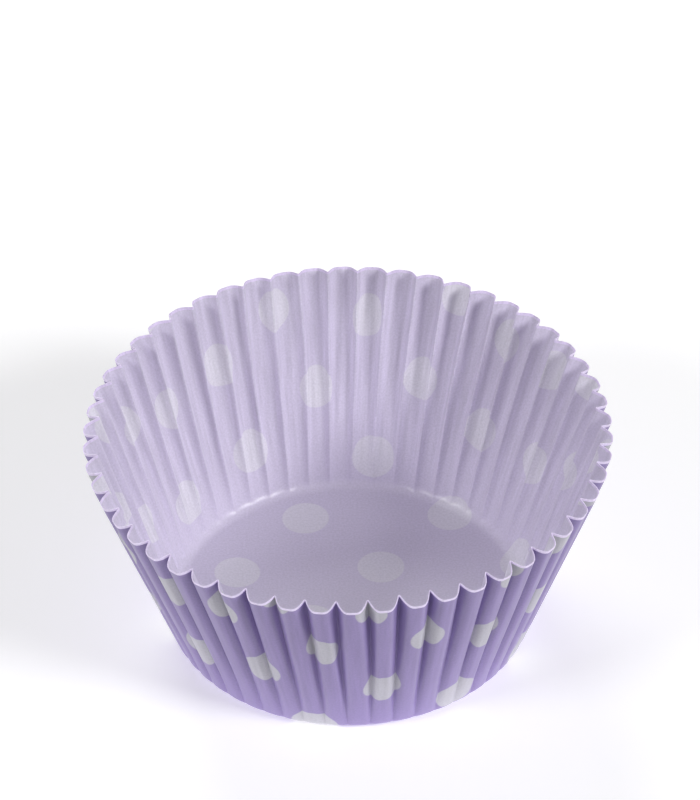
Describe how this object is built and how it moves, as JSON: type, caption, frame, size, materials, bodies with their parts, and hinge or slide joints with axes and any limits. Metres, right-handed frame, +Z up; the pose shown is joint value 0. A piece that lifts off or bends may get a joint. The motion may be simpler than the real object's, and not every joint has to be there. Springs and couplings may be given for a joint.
{
  "type": "paper baking cup",
  "caption": "Round fluted paper baking cup: flat floor, small rounded corner and a flaring pleated wall with a scalloped open rim.",
  "frame": {"origin": "middle of the floor's flat underside", "axes": "+Z up along the cup's axis and out of its open mouth, -Y towards the side that the picture shows"},
  "size_m": [0.0692, 0.0692, 0.0308],
  "materials": {
    "printed_paper": "satin greaseproof paper, lilac with white dots"
  },
  "bodies": {
    "root": {"baking_cup": "printed_paper"}
  },
  "joints": []
}
